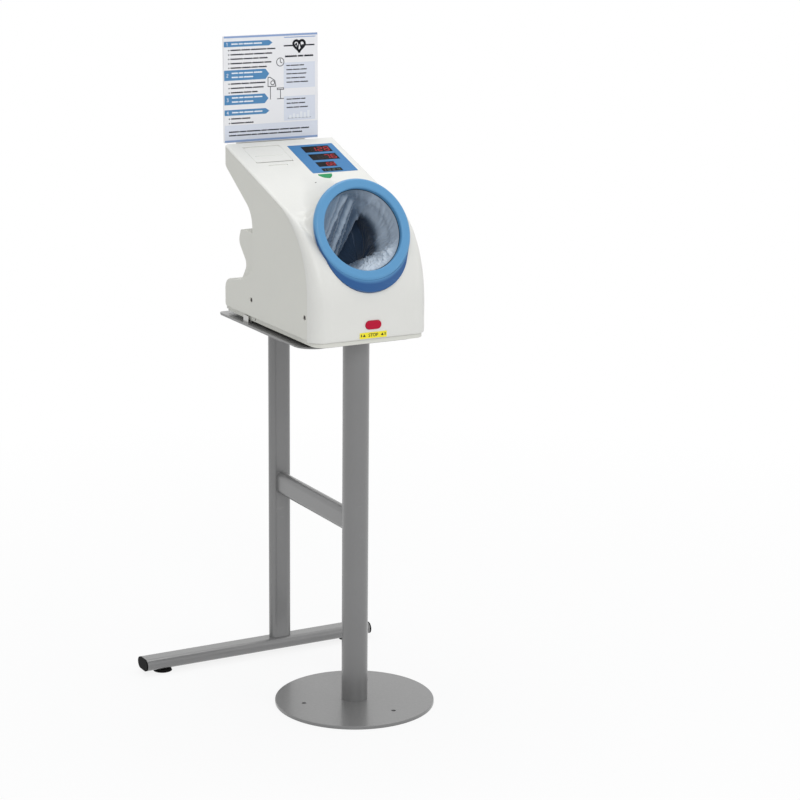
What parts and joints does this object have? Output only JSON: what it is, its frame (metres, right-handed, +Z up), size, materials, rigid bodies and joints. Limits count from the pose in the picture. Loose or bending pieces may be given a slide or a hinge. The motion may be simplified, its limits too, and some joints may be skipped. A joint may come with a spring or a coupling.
{
  "type": "arm-in blood pressure monitor",
  "caption": "Arm-in blood pressure monitor with a padded cuff tunnel, sloping display, ticket printer and sign board, bolted to a floor stand.",
  "frame": {"origin": "on the floor, on the axis of the round column, under the centre of the base disc", "axes": "+Z up, the arm ring and the display face -Y, +X is the user's right"},
  "size_m": [0.511, 0.5115, 1.2695],
  "materials": {
    "casing_white": "fine-textured moulding",
    "side_grey": "fine-textured moulding",
    "ring_blue": "smooth moulding",
    "display_blue": "printed panel",
    "window_smoke": "smoked acrylic",
    "digit_red": "seven-segment modules",
    "start_green": "smooth button",
    "stop_red": "smooth button",
    "label_yellow": "printed strip",
    "stand_grey": "powder coat",
    "dark_steel": "blackened screws",
    "cap_black": "moulded plug",
    "rubber_black": "moulded rubber",
    "bright_steel": "zinc plated",
    "cuff_fabric": "coated woven nylon",
    "bladder_rubber": "air bladder",
    "inner_black": "inner moulding",
    "board_green": "circuit board",
    "paper_white": "thermal paper",
    "sign_face": "printed sign",
    "hose_clear": "silicone hose",
    "pad_blue": "soft foam rubber"
  },
  "bodies": {
    "monitor": {"base_disc": "stand_grey", "stand_column": "stand_grey", "rear_post": "stand_grey", "cross_brace": "stand_grey", "foot_bar": "stand_grey", "foot_end_caps": "cap_black", "top_plate": "stand_grey", "plate_bolts": "bright_steel", "stand_nuts": "bright_steel", "rubber_feet": "rubber_black", "hold_down_clips": "bright_steel", "mount_screws": "bright_steel", "front_cover": "casing_white", "side_cover_right": "side_grey", "side_cover_left": "side_grey", "side_screws": "dark_steel", "rear_cover": "side_grey", "rear_cowl": "side_grey", "arm_deck": "side_grey", "arm_pad": "pad_blue", "base_pan": "side_grey", "arm_ring": "ring_blue", "sleeve_retainer": "inner_black", "cuff_drum": "inner_black", "cuff_bladder": "bladder_rubber", "cuff_sleeve": "cuff_fabric", "drum_saddles": "inner_black", "display_panel": "display_blue", "display_windows": "window_smoke", "digit_modules": "digit_red", "display_board": "board_green", "board_standoffs": "bright_steel", "main_board": "board_green", "button_switches": "inner_black", "yellow_strip": "label_yellow", "ready_lamp": "window_smoke", "printer_hinge_pin": "bright_steel", "printer_frame": "casing_white", "paper_spindle": "bright_steel", "print_head": "inner_black", "tear_bar": "bright_steel", "power_supply": "bright_steel", "air_pump": "inner_black", "exhaust_valve": "inner_black", "air_hose": "hose_clear", "speaker": "inner_black", "power_inlet": "cap_black", "power_switch_case": "cap_black", "sign_panel": "sign_face", "sign_holder": "casing_white", "sign_screws": "bright_steel"},
    "glide_left": {"foot_glide_left": "rubber_black"},
    "glide_right": {"foot_glide_right": "rubber_black"},
    "start_key": {"start_button": "start_green"},
    "stop_key": {"stop_button": "stop_red"},
    "printer_lid": {"printer_cover": "casing_white"},
    "platen": {"platen_roller": "rubber_black"},
    "paper": {"paper_roll": "paper_white"},
    "rocker": {"power_rocker": "cap_black"}
  },
  "joints": [
    {"name": "glide_left_turn", "type": "hinge", "parent": "monitor", "child": "glide_left", "pos_m": [-0.264, 0.333, 0], "axis": [0, 0, 1], "continuous": true},
    {"name": "glide_right_turn", "type": "hinge", "parent": "monitor", "child": "glide_right", "pos_m": [0.159, 0.333, 0], "axis": [0, 0, 1], "continuous": true},
    {"name": "start_press", "type": "slide", "parent": "monitor", "child": "start_key", "axis": [0, 0.3173, -0.9483], "range_m": [0, 0.0012], "stiffness_N_per_m": 600, "springref_m": -0.001},
    {"name": "stop_press", "type": "slide", "parent": "monitor", "child": "stop_key", "axis": [0, 1, 0], "range_m": [0, 0.002], "stiffness_N_per_m": 700, "springref_m": -0.001},
    {"name": "printer_lid_hinge", "type": "hinge", "parent": "monitor", "child": "printer_lid", "pos_m": [-0.0505, 0.30735, 1.05312], "axis": [-1, 0, 0], "range_deg": [0, 95]},
    {"name": "platen_spin", "type": "hinge", "parent": "monitor", "child": "platen", "pos_m": [-0.0505, 0.25015, 1.02555], "axis": [1, 0, 0], "continuous": true},
    {"name": "paper_spin", "type": "hinge", "parent": "monitor", "child": "paper", "pos_m": [-0.0505, 0.28035, 1.02195], "axis": [1, 0, 0], "continuous": true},
    {"name": "rocker_tilt", "type": "hinge", "parent": "monitor", "child": "rocker", "pos_m": [0.06, 0.3285, 0.764], "axis": [0, 0, 1], "range_deg": [0, 14]}
  ],
  "couplings": [
    {"joint": "paper_spin", "follows": "platen_spin", "ratio": 0.27778}
  ]
}
